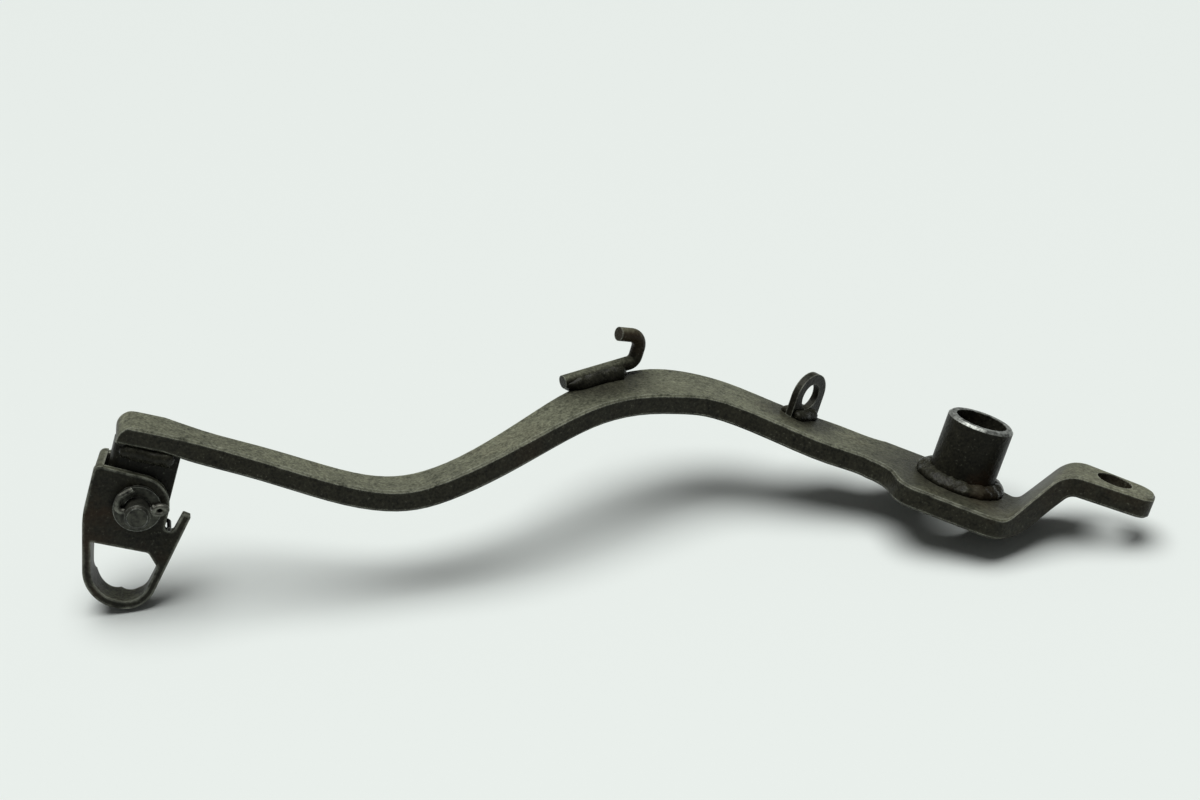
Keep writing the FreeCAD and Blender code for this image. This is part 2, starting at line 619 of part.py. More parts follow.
def make_pin():
    """The headed clevis pin, drilled for the split pin."""
    shank = Part.makeCylinder(PIN_R, PIN_HEAD_FACE - PIN_END, toe_place(0, 0, PIN_END), Y_AXIS)
    shank = shank.makeChamfer(PIN_CHAMFER, [edge for edge in shank.Edges if abs(edge.CenterOfMass.y - PIN_END) < 1e-6])
    head = Part.makeCylinder(PIN_HEAD_D / 2, PIN_HEAD_T, toe_place(0, 0, PIN_HEAD_FACE), Y_AXIS)
    rim = [edge for edge in head.Edges if abs(edge.CenterOfMass.y - PIN_HEAD_FACE - PIN_HEAD_T) < 1e-6]
    head = head.makeChamfer(PIN_CHAMFER, rim)
    hole = Part.makeCylinder(SPLIT_HOLE_D / 2, 2 * PIN_D, toe_place(-PIN_D, 0, SPLIT_Y), X_AXIS)
    return shank.fuse(head).cut(split_turned(hole)).removeSplitter()


def make_washer():
    """The plain washer under the split pin."""
    return bored(WASHER_OD, WASHER_BORE, WASHER_FACE, WASHER_FACE + WASHER_T, toe_place(0, 0, 0), Y_AXIS)


def make_split_pin():
    """The split pin: an eye beside the pin, and legs bent up on its other side."""
    eye_near = SPLIT_EYE_OUT - SPLIT_EYE_R
    shank = [(toe_place(eye_near, 0, SPLIT_Y), 0)]
    shank += [(toe_place(along, rise, SPLIT_Y), bend) for along, rise, bend in SPLIT_LEG]
    eye = Part.makeTorus(SPLIT_EYE_R, SPLIT_D / 2, toe_place(SPLIT_EYE_OUT, 0, SPLIT_Y), Y_AXIS)
    return split_turned(largest(round_rod(shank, SPLIT_D).fuse(eye)))


def make_spring():
    """The torsion spring: close turns round the pin, one leg on the web, one in the tread's notch."""
    radius = SPRING_MEAN_D / 2
    low = TOE_Y - SPRING_TURNS * SPRING_PITCH / 2
    high = low + SPRING_TURNS * SPRING_PITCH
    seat = BRACKET_T - BRACKET_FRONT + SPRING_WIRE_D / 2 + RUNNING_FIT
    holding = [
        (toe_place(seat, SPRING_TIP_RISE, high), 0),
        (toe_place(-radius, SPRING_LEG_RISE, high), SPRING_HOLD_BEND),
        (toe_place(-radius, 0, high), 0),
    ]
    edges = rounded_edges(holding, False)
    # Each half turn is an arc that leans by half the pitch
    crown = math.hypot(radius, SPRING_PITCH / 4)
    for half_turn in range(2 * SPRING_TURNS):
        side = -1 if half_turn % 2 == 0 else 1
        start = high - half_turn * SPRING_PITCH / 2
        edges.append(Part.Arc(
            toe_place(side * radius, 0, start),
            toe_place(0, side * crown, start - SPRING_PITCH / 4),
            toe_place(-side * radius, 0, start - SPRING_PITCH / 2),
        ).toShape())
    diagonal = radius * math.sqrt(0.5)
    edges.append(Part.Arc(
        toe_place(-radius, 0, low), toe_place(-diagonal, -diagonal, low), toe_place(0, -radius, low)
    ).toShape())
    notch = EAR_R + NOTCH_W / 2
    working = [
        (toe_place(0, -radius, low), 0),
        (toe_place(notch, -radius, low), SPRING_WORK_BEND),
        (toe_place(notch, -radius, EAR_FACE - SPRING_OVER), 0),
    ]
    return largest(rod_along(edges + rounded_edges(working, False), SPRING_WIRE_D))


def make_pieces():
    """Every piece of the pedal, by name, in the pedal's own axes."""
    arm = make_arm()
    hook = make_hook()
    eye = make_eye(arm)
    return {
        "pedal_arm": arm,
        "pivot_sleeve": make_sleeve(),
        "pivot_sleeve_weld": make_sleeve_weld(),
        "spring_hook": hook,
        "spring_hook_weld": make_hook_weld(arm, hook),
        "spring_eye": eye,
        "spring_eye_weld": make_eye_weld(arm, eye),
        "toe_bracket": make_bracket(),
        "toe_bracket_weld": make_bracket_weld(),
        "toe_piece": make_tread(),
        "hinge_pin": make_pin(),
        "plain_washer": make_washer(),
        "split_pin": make_split_pin(),
        "toe_spring": make_spring(),
    }


def lying_turn():
    """The turn from the pedal's axes to those of the surface it lies on: X level, Z straight up."""
    up = unit(LYING_UP)
    forward = unit(X_AXIS - up * up.dot(X_AXIS))
    left = up.cross(forward)
    return FreeCAD.Matrix(
        forward.x, forward.y, forward.z, 0, left.x, left.y, left.z, 0, up.x, up.y, up.z, 0, 0, 0, 0, 1
    )


def main():
    """Build the pieces, lay them down and write one file for each."""
    os.makedirs("parts", exist_ok=True)
    turn = lying_turn()
    for name, shape in make_pieces().items():
        shape = shape.transformed(turn, True)
        shape.exportStep("parts/%s.step" % name)
        print("%s: %d solid(s), %.0f mm3, valid %s" % (name, len(shape.Solids), shape.Volume, shape.isValid()))


if __name__ == "__main__":
    main()
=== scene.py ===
"""Rear brake pedal dressed over its CAD frame: worn black enamel, weld beads, hinge hardware, bench."""
import math

import bpy
from bpy.props import FloatProperty, FloatVectorProperty, IntProperty, PointerProperty
from mathutils import Matrix, Vector


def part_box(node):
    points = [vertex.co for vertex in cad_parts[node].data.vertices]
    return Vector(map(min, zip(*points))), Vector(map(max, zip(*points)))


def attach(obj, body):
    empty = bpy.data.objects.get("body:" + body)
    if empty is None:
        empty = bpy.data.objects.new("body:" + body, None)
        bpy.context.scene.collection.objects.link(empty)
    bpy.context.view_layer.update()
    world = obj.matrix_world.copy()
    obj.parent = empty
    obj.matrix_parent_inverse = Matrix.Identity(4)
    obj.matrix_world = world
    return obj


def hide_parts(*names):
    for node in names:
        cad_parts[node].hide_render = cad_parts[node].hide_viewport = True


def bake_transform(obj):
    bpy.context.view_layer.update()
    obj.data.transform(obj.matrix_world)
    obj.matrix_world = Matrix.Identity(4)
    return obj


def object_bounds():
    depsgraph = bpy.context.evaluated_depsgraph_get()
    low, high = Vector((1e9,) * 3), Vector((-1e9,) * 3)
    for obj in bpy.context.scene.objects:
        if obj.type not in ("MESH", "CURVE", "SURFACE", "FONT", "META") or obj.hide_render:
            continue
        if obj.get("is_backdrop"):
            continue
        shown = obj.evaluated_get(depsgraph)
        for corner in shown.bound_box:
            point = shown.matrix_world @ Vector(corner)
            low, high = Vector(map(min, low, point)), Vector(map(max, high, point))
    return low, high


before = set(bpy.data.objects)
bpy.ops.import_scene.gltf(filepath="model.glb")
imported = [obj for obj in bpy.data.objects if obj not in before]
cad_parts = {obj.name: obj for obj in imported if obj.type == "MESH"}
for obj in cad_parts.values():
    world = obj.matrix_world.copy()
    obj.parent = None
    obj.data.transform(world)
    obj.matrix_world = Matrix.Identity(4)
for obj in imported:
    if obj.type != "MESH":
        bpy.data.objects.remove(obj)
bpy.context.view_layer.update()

bl_info = {
    "name": "Rear brake pedal",
    "version": (1, 0, 0),
    "blender": (4, 5, 0),
    "location": "3D View > Sidebar > Pedal",
    "description": "Dresses the pedal's CAD pieces and sets them on a pale bench",
    "category": "Object",
}

MM = 0.001

# The bench's upward direction in the pedal's own axes: along the arm, up on the motorbike, inboard
LYING_UP = Vector((-0.355, -0.148, 0.923)).normalized()

# Vertices closer than the gap are one; a cut moves none that lies further off than the snap
JOIN_GAP = 0.002 * MM
CUT_SNAP = 0.0001 * MM

# Angles between faces: those of one plane, of a curved plate, of an edge to round, of a round wire
FLAT_ANGLE = math.radians(1)
CURVE_ANGLE = math.radians(40)
SHARP_ANGLE = math.radians(50)
WIRE_ANGLE = math.radians(60)

# Facets across a rounded sheet edge and round a full cylinder
EDGE_STEPS = 3
ROUND_STEPS = 96

# Lengths of a rounding cutter and of the cylinder taken out of it, in cutter widths
CUTTER_LENGTH = 4
CORE_LENGTH = 6

# The part of its range that a noise mostly fills
NOISE_SPREAD = (0.3, 0.7)

# Colour sockets of a mix node
MIX_FIRST, MIX_SECOND, MIX_RESULT = 6, 7, 2

# Each bead's piece, with its lumps and its swelling as shares of the full heights
BEADS = {
    "pivot_sleeve_weld": ("sleeve_bead", 1.0, 0.5),
    "spring_hook_weld": ("hook_bead", 0.5, 0.2),
    "spring_eye_weld": ("eye_bead", 0.5, 0.4),
    "toe_bracket_weld": ("bracket_bead", 1.0, 0.6),
}


def linear(hex_colour):
    """An sRGB hex value as linear red, green and blue."""
    values = [int(hex_colour[start:start + 2], 16) / 255 for start in (1, 3, 5)]
    return tuple(v / 12.92 if v <= 0.04045 else ((v + 0.055) / 1.055) ** 2.4 for v in values)


def colour(name, description, hex_colour):
    """A colour property that starts from an sRGB hex value."""
    return FloatVectorProperty(
        name=name, description=description, subtype="COLOR", size=3, min=0, max=1,
        default=linear(hex_colour),
    )


def length(name, description, millimetres):
    """A length property, given in millimetres."""
    return FloatProperty(name=name, description=description, subtype="DISTANCE", default=millimetres * MM)


class PedalFinish(bpy.types.PropertyGroup):
    """Colours and wear of the enamel and the hinge hardware."""

    enamel: colour("Enamel", "Black enamel where it is sound", "#0e0e0b")
    enamel_brown: colour("Browned enamel", "Enamel aged towards brown", "#3a392e")
    # Grey-green on faces that look up: partly dust, partly painted sheen that stands in for the overhead
    # light
    dust_and_top_light: colour("Grey film", "Faded, dusty enamel on faces that look up", "#34362d")
    dust_and_top_light_pale: colour("Pale film", "Palest grains of the grey film", "#94977f")
    # Pale edge colour: partly abraded steel, partly painted highlight on edges that would catch the light
    bare_and_highlight: colour("Worn edge", "Steel showing along worn edges", "#aaad9f")
    rust: colour("Rust", "Rust tint in bare spots", "#46301d")
    soot: colour("Sooty enamel", "Burnt enamel on welds and in corners", "#0d0d0b")
    plated: colour("Plated steel", "Dull plating on pin and washer", "#4e4f46")
    cotter: colour("Cotter wire", "Brighter wire of the split pin", "#8a8b80")
    wire: colour("Spring wire", "Oiled spring steel", "#2a2925")
    # Also the pale edge colour of plated parts: partly abraded steel, partly painted edge highlight
    rim: colour("Bare rim", "Turned steel at the sleeve's open end", "#b9bdb6")
    # The pale edge strip is partly abraded steel, partly painted edge highlight
    edge_width: length("Edge wear", "Width of the worn strip along edges", 0.7)
    patch_size: length("Patches", "Size of the uneven patches in the film", 38)
    mottle_size: length("Mottle", "Size of the fine mottling", 3.6)
    grit_size: length("Grit", "Size of pits and specks in the enamel", 0.9)


class PedalForms(bpy.types.PropertyGroup):
    """Forms that the pieces get on top of their CAD shapes."""

    end_length: length("Bar end", "Stretch of the bar's toe end that is drawn out afresh", 13.8)
    end_round: length("End rounding", "Rounding of the toe end, in the side view", 5.5)
    rod_growth: length("Rod growth", "Enamel and scale on the hook's rod", 0.35)
    curl_height: length("Curl height", "Upper part of the hook, its curl", 7)
    curl_cut: length("Curl cut", "Bent end taken off the curl", 5)
    curl_end: length("Curl end", "Straight end put on the curl instead", 3.5)
    hook_heading: FloatProperty(
        name="Hook heading", description="Direction of the hook's leg in plan, in the pedal's axes",
        subtype="ANGLE", default=math.radians(22.5),
    )
    cotter_growth: length("Cotter growth", "Stouter wire of the split pin", 0.1)
    cotter_head: length("Cotter head", "Length of the split pin's eye", 4)
    cotter_open: FloatVectorProperty(
        name="Open eye", description="Drawing out of the split pin's eye", subtype="XYZ",
        default=(1.2, 1.0, 0.8),
    )
    spring_wire: length("Spring wire", "Wire of the torsion spring", 1.4)
    spring_coil: length("Spring coil", "Length of the coil, wire to wire", 4.4)
    sheet_edge: length("Sheet edge", "Rounded edges of the pressed sheet", 0.5)
    rim_depth: length("Bare rim", "Bare steel at the sleeve's open end", 0.9)


class PedalBeads(bpy.types.PropertyGroup):
    """Shape of the weld beads."""

    voxel: length("Grain", "Mesh size of the beads", 0.35)
    lump_size: length("Lump size", "Length of a lump along the bead", 3)
    lump_height: length("Lump height", "Height of the lumps", 1.7)
    softening: IntProperty(
        name="Softening", description="Smoothing passes over the lumps", default=14, min=0
    )
    swell: length("Swell", "How far the fullest bead stands out past its CAD shape", 1.1)
    hook_reach: length("Hook weld reach", "Hook weld past its CAD bead, along the leg", 4)
    hook_cover: length("Hook weld cover", "Rod left clear above the hook weld", 0.8)


class PedalBench(bpy.types.PropertyGroup):
    """Bench, light and camera."""

    top: colour("Bench", "Pale bench top", "#eaf0ec")
    floor_size: FloatProperty(
        name="Bench size", description="Width of the bench top", subtype="DISTANCE", default=8.0
    )
    lamp_place: FloatVectorProperty(
        name="Lamp place", description="Soft lamp, from the middle of the pedal", subtype="TRANSLATION",
        unit="LENGTH", default=(-0.12, 0.18, 1.5),
    )
    lamp_spread: FloatProperty(
        name="Lamp spread", description="Angle that the soft lamp fills, seen from the bench",
        subtype="ANGLE", default=math.radians(53),
    )
    lamp_strength: FloatProperty(
        name="Lamp strength", description="Light on the bench, in watts a square metre", default=2.85
    )
    sky: FloatProperty(name="Fill", description="Strength of the even fill light", default=0.1)
    camera_place: FloatVectorProperty(
        name="Camera place", description="Where the camera stands", subtype="TRANSLATION", unit="LENGTH",
        default=(-0.186, -0.5895, 0.3922),
    )
    camera_turn: FloatVectorProperty(
        name="Camera turn", description="How the camera is turned", subtype="EULER",
        default=[math.radians(angle) for angle in (59.66, 2.34, -8.02)],
    )
    lens: FloatProperty(name="Lens", description="Focal length in millimetres", default=66.0)
    sensor: FloatProperty(name="Sensor", description="Width of the sensor in millimetres", default=36.0)


def add(tree, kind, settings=None, inputs=None):
    """A shader node with its settings; each input is a value or a socket to link from."""
    node = tree.nodes.new(kind)
    for key, value in (settings or {}).items():
        setattr(node, key, value)
    for key, value in (inputs or {}).items():
        if isinstance(value, bpy.types.NodeSocket):
            tree.links.new(value, node.inputs[key])
        else:
            node.inputs[key].default_value = value
    return node


def rgba(value):
    """A colour property with full opacity."""
    return (*value, 1.0)


def surface(name):
    """An empty material with its tree and shader."""
    material = bpy.data.materials.new(name)
    material.use_nodes = True
    tree = material.node_tree
    return material, tree, tree.nodes["Principled BSDF"]


def ranged(tree, value, start=0.0, end=1.0, low=0.0, high=1.0, smooth=False):
    """A value's stretch from start to end, laid over low to high."""
    kind = "SMOOTHSTEP" if smooth else "LINEAR"
    node = add(tree, "ShaderNodeMapRange", {"interpolation_type": kind}, {
        "Value": value, "From Min": start, "From Max": end, "To Min": low, "To Max": high})
    return node.outputs["Result"]


def product(tree, first, second):
    """Two values multiplied."""
    return add(tree, "ShaderNodeMath", {"operation": "MULTIPLY"}, {0: first, 1: second}).outputs["Value"]


def compared(tree, operation, first, second):
    """One number from two vectors."""
    node = add(tree, "ShaderNodeVectorMath", {"operation": operation}, {0: first, 1: second})
    return node.outputs["Value"]


def mixed(tree, share, first, second):
    """A colour that goes from the first to the second as the share grows."""
    node = add(tree, "ShaderNodeMix", {"data_type": "RGBA"}, {
        "Factor": share, MIX_FIRST: first, MIX_SECOND: second})
    return node.outputs[MIX_RESULT]


def noise(tree, place, size, detail=5.0):
    """Noise with grains of one size."""
    node = add(tree, "ShaderNodeTexNoise", None, {
        "Vector": place.outputs["Object"], "Scale": 1 / size, "Detail": detail, "Roughness": 0.65})
    return node.outputs["Fac"]


def edges(tree, width):
    """How close to an edge a point lies: there the rounded normal leaves the true one."""
    rounded = add(tree, "ShaderNodeBevel", {"samples": 6}, {"Radius": width})
    true = add(tree, "ShaderNodeNewGeometry")
    turn = compared(tree, "DOT_PRODUCT", rounded.outputs["Normal"], true.outputs["Normal"])
    return ranged(tree, turn, start=0.985, end=0.9)


def coat_with(tree, shader, tone, gloss, height, strength, depth):
    """Give the shader its colour, its gloss and a fine relief."""
    bump = add(tree, "ShaderNodeBump", None, {"Height": height, "Strength": strength, "Distance": depth})
    for key, socket in (("Base Color", tone), ("Roughness", gloss), ("Normal", bump.outputs["Normal"])):
        tree.links.new(socket, shader.inputs[key])


def enamel(
    name, dust_and_top_light_reach=1.0, rust_reach=0.0, base=None, aged=1.0, wear_and_highlight=1.0, edge=1.0, sheen=0.4, burnt_and_shaded_welds=(),
):
    """Brushed-on black enamel over steel: near black on the sides, grainy and pitted; faces that look up
    get a grey-green that is partly dust and partly painted sheen, thinned round the welds, where the
    darker enamel is partly burnt and partly painted shade; edges pale, partly abraded steel and partly
    painted edge highlight."""
    finish = bpy.context.scene.pedal_finish
    material, tree, shader = surface(name)
    place = add(tree, "ShaderNodeTexCoord")
    patches = ranged(tree, noise(tree, place, finish.patch_size), *NOISE_SPREAD)
    mottle = ranged(tree, noise(tree, place, finish.mottle_size), *NOISE_SPREAD)
    grit = ranged(tree, noise(tree, place, finish.grit_size, detail=3.0), *NOISE_SPREAD)

    # Dark enamel turns brown in a fine grain
    grain = add(tree, "ShaderNodeMix", None, {"Factor": 0.45, "A": grit, "B": mottle}).outputs["Result"]
    brown = product(tree, grain, aged)
    dark = mixed(tree, brown, rgba(base or finish.enamel), rgba(finish.enamel_brown))

    # A grey-green lies on faces that look up, fades out towards upright ones and thins in patches: partly
    # dust, partly painted sheen that stands in for the overhead light
    lift = compared(tree, "DOT_PRODUCT", place.outputs["Normal"], (0.0, 0.0, 1.0))
    upward = ranged(tree, lift, start=0.3, end=0.9, high=dust_and_top_light_reach, smooth=True)
    dust_and_top_light = product(tree, upward, ranged(tree, patches, low=0.6))
    # Round the welds the grey-green thins, so the enamel is darker there: partly burnt enamel, partly
    # painted shade
    for weld in burnt_and_shaded_welds:
        low, high = (Vector(corner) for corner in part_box(weld))
        reach = (high - low).length / 2
        away = compared(tree, "DISTANCE", place.outputs["Object"], (low + high) / 2)
        layer_kept = ranged(tree, away, start=0.6 * reach, end=2.3 * reach, low=0.12, smooth=True)
        dust_and_top_light = product(tree, dust_and_top_light, layer_kept)
    dust_and_top_light_tone = mixed(tree, grain, rgba(finish.dust_and_top_light), rgba(finish.dust_and_top_light_pale))
    coated = mixed(tree, dust_and_top_light, dark, dust_and_top_light_tone)

    # Rust shows in a few patches
    rusted = ranged(tree, patches, start=0.55, end=0.9, high=rust_reach, smooth=True)
    stained = mixed(tree, rusted, coated, rgba(finish.rust))

    # Edges turn pale, partly abraded to steel and partly a painted highlight where a rounded edge would
    # catch the light; pale specks where the grit peaks
    abraded_and_highlit = product(tree, edges(tree, edge * finish.edge_width), mottle)
    specks = ranged(tree, grit, start=0.88, end=1.1, high=0.25)
    bare_and_highlight = add(tree, "ShaderNodeMath", {"operation": "MULTIPLY_ADD", "use_clamp": True}, {
        0: abraded_and_highlit, 1: 0.8 * wear_and_highlight, 2: specks})
    worn_and_highlit = mixed(tree, bare_and_highlight.outputs["Value"], stained, rgba(finish.bare_and_highlight))

    gloss = ranged(tree, dust_and_top_light, low=sheen, high=0.6)
    shader.inputs["Specular IOR Level"].default_value = 0.12
    coat_with(tree, shader, worn_and_highlit, gloss, grain, strength=0.6, depth=0.25 * MM)
    return material


def plated(name, base):
    """Zinc-plated steel gone dull: a soft metal sheen, darker in the grain, with pale edges, partly
    abraded and partly painted edge highlight.
    """
    finish = bpy.context.scene.pedal_finish
    material, tree, shader = surface(name)
    place = add(tree, "ShaderNodeTexCoord")
    grain = noise(tree, place, 0.5 * finish.mottle_size)
    tone = ranged(tree, grain, *NOISE_SPREAD)
    dull = mixed(tree, tone, rgba(finish.soot), rgba(base))
    # Pale edges: partly abraded steel, partly painted edge highlight
    abraded_and_highlit = product(tree, edges(tree, 0.5 * finish.edge_width), tone)
    worn_and_highlit = mixed(tree, abraded_and_highlit, dull, rgba(finish.rim))
    gloss = ranged(tree, grain, *NOISE_SPREAD, low=0.55, high=0.36)
    shader.inputs["Metallic"].default_value = 0.65
    coat_with(tree, shader, worn_and_highlit, gloss, grain, strength=0.3, depth=0.08 * MM)
    return material


def only(obj):
    """Select one object and make it active."""
    bpy.ops.object.select_all(action="DESELECT")
    obj.select_set(True)
    bpy.context.view_layer.objects.active = obj


def merged_copy(node, name):
    """A piece with a CAD node's own mesh, its loose triangles joined up."""
    piece = bpy.data.objects.new(name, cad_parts[node].data.copy())
    bpy.context.scene.collection.objects.link(piece)
    only(piece)
    bpy.ops.object.mode_set(mode="EDIT")
    bpy.ops.mesh.select_all(action="SELECT")
    bpy.ops.mesh.remove_doubles(threshold=JOIN_GAP)
    bpy.ops.object.mode_set(mode="OBJECT")
    bpy.ops.mesh.customdata_custom_splitnormals_clear()
    return piece


def take_over(piece, node, body, material):
    """Let a piece stand for a CAD node, with its finish, on a body if it rides on just one."""
    piece.data.materials.clear()
    piece.data.materials.append(material)
    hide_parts(node)
    if body:
        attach(piece, body)


def dressed(node, name, body, material, smooth=CURVE_ANGLE):
    """A CAD node's shape with smooth shading over its curves and a finish."""
    piece = merged_copy(node, name)
    bpy.ops.object.shade_smooth_by_angle(angle=smooth)
    take_over(piece, node, body, material)
    return piece


def apply(piece, kind, **settings):
    """Add a modifier with its settings and apply it."""
    only(piece)
    modifier = piece.modifiers.new(kind.title(), kind)
    for key, value in settings.items():
        setattr(modifier, key, value)
    bpy.ops.object.modifier_apply(modifier=modifier.name)


def lying_turn():
    """The turn from the pedal's axes to the frame's."""
    forward = (Vector((1, 0, 0)) - LYING_UP * LYING_UP.x).normalized()
    return Matrix((forward, LYING_UP.cross(forward), LYING_UP))


def pick(piece, wanted=None):
    """Go into edit mode with all vertices picked, or those whose place passes a test."""
    only(piece)
    bpy.ops.object.mode_set(mode="EDIT")
    bpy.ops.mesh.select_mode(type="VERT")
    bpy.ops.mesh.select_all(action="DESELECT")
    bpy.ops.object.mode_set(mode="OBJECT")
    for vertex in piece.data.vertices:
        vertex.select = wanted is None or wanted(vertex.co)
    bpy.ops.object.mode_set(mode="EDIT")


def draw_out(piece, start, heading, reach, wanted=None):
    """Cut off an end of a piece square to a heading and draw it out straight from there."""
    pick(piece, wanted)
    bpy.ops.mesh.bisect(
        plane_co=heading * start, plane_no=heading, use_fill=True, clear_inner=True, threshold=CUT_SNAP)
    bpy.ops.mesh.extrude_region_move(TRANSFORM_OT_translate={"value": heading * -reach})
    bpy.ops.object.mode_set(mode="OBJECT")


def round_off(piece, centre, turn, radius):
    """Round a square edge with a cutter: a block less a cylinder, both along the middle axis of turn."""
    side = 2 * radius
    outward = turn @ Vector((-radius, 0, radius))
    bpy.ops.mesh.primitive_cube_add(
        size=side, scale=(1, CUTTER_LENGTH, 1), location=centre + outward, rotation=turn.to_euler())
    block = bpy.context.object
    upright = turn @ Matrix.Rotation(math.pi / 2, 3, "X")
    bpy.ops.mesh.primitive_cylinder_add(
        vertices=ROUND_STEPS, radius=radius, depth=CORE_LENGTH * side, location=centre,
        rotation=upright.to_euler())
    core = bpy.context.object
    apply(block, "BOOLEAN", operation="DIFFERENCE", object=core)
    apply(piece, "BOOLEAN", operation="DIFFERENCE", object=block)
    for tool in (block, core):
        bpy.data.objects.remove(tool)


class PEDAL_OT_arm(bpy.types.Operator):
    """Dress the bent bar of the pedal arm and draw out its toe end, rounded in the side view"""
    bl_idname = "pedal.arm"
    bl_label = "Pedal arm"

    def execute(self, context):
        forms = context.scene.pedal_forms
        turn = lying_turn()
        along, across, inboard = turn.col
        piece = merged_copy("pedal_arm", "arm_bar")
        end = min(vertex.co.dot(along) for vertex in piece.data.vertices)
        draw_out(piece, end + forms.end_length, along, forms.end_length)
        halfway = end + forms.end_length / 2
        tip = [vertex.co for vertex in piece.data.vertices if vertex.co.dot(along) < halfway]
        top = max(place.dot(inboard) for place in tip)
        middle = sum(place.dot(across) for place in tip) / len(tip)
        centre = along * (end + forms.end_round) + across * middle + inboard * (top - forms.end_round)
        round_off(piece, centre, turn, forms.end_round)
        only(piece)
        bpy.ops.object.shade_smooth_by_angle(angle=CURVE_ANGLE)
        # Welds round which the enamel is darker: partly burnt, partly painted shade
        burnt_and_shaded_welds = ("pivot_sleeve_weld", "spring_hook_weld", "spring_eye_weld")
        coat = enamel("Worn black enamel", rust_reach=0.12, wear_and_highlight=1.3, edge=1.2, burnt_and_shaded_welds=burnt_and_shaded_welds)
        take_over(piece, "pedal_arm", "arm", coat)
        return {"FINISHED"}


class PEDAL_OT_sleeve(bpy.types.Operator):
    """Dress the pivot sleeve, with uncoated turned steel at its open end"""
    bl_idname = "pedal.sleeve"
    bl_label = "Pivot sleeve"

    def execute(self, context):
        forms, finish = context.scene.pedal_forms, context.scene.pedal_finish
        coat = enamel("Sleeve enamel", dust_and_top_light_reach=0.4, rust_reach=0.4, base=finish.soot, aged=0.6)
        piece = dressed("pivot_sleeve", "pivot_tube", "arm", coat)
        piece.data.materials.append(plated("Bare rim steel", finish.rim))
        inboard = lying_turn().col[2]
        top = max(vertex.co.dot(inboard) for vertex in piece.data.vertices)
        pick(piece, lambda place: place.dot(inboard) > top - forms.rim_depth)
        piece.active_material_index = 1
        bpy.ops.object.material_slot_assign()
        bpy.ops.object.mode_set(mode="OBJECT")
        return {"FINISHED"}


class PEDAL_OT_spring_fittings(bpy.types.Operator):
    """Dress the spring hook, its curl cut off square, and the spring eye"""
    bl_idname = "pedal.spring_fittings"
    bl_label = "Spring hook and eye"

    def execute(self, context):
        forms, finish = context.scene.pedal_forms, context.scene.pedal_finish
        hook = merged_copy("spring_hook", "hook_rod")
        apply(hook, "DISPLACE", strength=forms.rod_growth, mid_level=0)
        heading = lying_turn() @ Vector((math.cos(forms.hook_heading), math.sin(forms.hook_heading), 0))
        foot = max(vertex.co.z for vertex in hook.data.vertices) - forms.curl_height
        end = min(vertex.co.dot(heading) for vertex in hook.data.vertices if vertex.co.z > foot)
        draw_out(hook, end + forms.curl_cut, heading, forms.curl_end, lambda place: place.z > foot)
        bpy.ops.object.shade_smooth_by_angle(angle=WIRE_ANGLE)
        rod = enamel("Rod enamel", dust_and_top_light_reach=0.6, rust_reach=0.3)
        take_over(hook, "spring_hook", "arm", rod)
        eye = enamel("Eye enamel", dust_and_top_light_reach=0.15, base=finish.soot, aged=0.6)
        dressed("spring_eye", "eye_lug", "arm", eye)
        return {"FINISHED"}


class PEDAL_OT_toe_bracket(bpy.types.Operator):
    """Dress the clevis bracket under the arm's end"""
    bl_idname = "pedal.toe_bracket"
    bl_label = "Toe bracket"

    def execute(self, context):
        soot = context.scene.pedal_finish.soot
        finish = enamel("Bracket enamel", dust_and_top_light_reach=0.2, base=soot, aged=0.35, wear_and_highlight=0.6)
        dressed("toe_bracket", "toe_clevis", "arm", finish)
        return {"FINISHED"}


class PEDAL_OT_toe_piece(bpy.types.Operator):
    """Dress the folding toe piece, with the rounded edges of pressed sheet"""
    bl_idname = "pedal.toe_piece"
    bl_label = "Folding toe piece"

    def execute(self, context):
        piece = merged_copy("toe_piece", "toe_loop")
        pick(piece)
        bpy.ops.mesh.dissolve_limited(angle_limit=FLAT_ANGLE)
        bpy.ops.object.mode_set(mode="OBJECT")
        apply(piece, "BEVEL", width=context.scene.pedal_forms.sheet_edge, segments=EDGE_STEPS,
              limit_method="ANGLE", angle_limit=SHARP_ANGLE)
        bpy.ops.object.shade_smooth_by_angle(angle=CURVE_ANGLE)
        finish = enamel("Toe piece enamel", dust_and_top_light_reach=0.6, rust_reach=0.3, aged=0.7, edge=2.5)
        take_over(piece, "toe_piece", "toe", finish)
        return {"FINISHED"}


class PEDAL_OT_hinge_set(bpy.types.Operator):
    """Dress the hinge pin, washer, split pin and torsion spring"""
    bl_idname = "pedal.hinge_set"
    bl_label = "Hinge pin set"

    def execute(self, context):
        forms, finish = context.scene.pedal_forms, context.scene.pedal_finish
        steel = plated("Dull plated steel", finish.plated)
        dressed("hinge_pin", "clevis_pin", "arm", steel)
        dressed("plain_washer", "washer", "arm", steel)
        bright = plated("Split pin wire", finish.cotter)
        cotter = dressed("split_pin", "cotter", "arm", bright, smooth=WIRE_ANGLE)
        apply(cotter, "DISPLACE", strength=forms.cotter_growth, mid_level=0)
        far = max(vertex.co.x for vertex in cotter.data.vertices)
        head = [vertex.co for vertex in cotter.data.vertices if vertex.co.x > far - forms.cotter_head]
        neck = sum(head, Vector()) / len(head)
        neck.x = far - forms.cotter_head
        pick(cotter, lambda place: place.x > far - forms.cotter_head)
        bpy.ops.transform.resize(value=forms.cotter_open, center_override=neck)
        bpy.ops.object.mode_set(mode="OBJECT")
        oiled = plated("Oiled spring wire", finish.wire)
        spring = dressed("toe_spring", "torsion_spring", None, oiled, smooth=WIRE_ANGLE)
        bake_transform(spring)
        return {"FINISHED"}


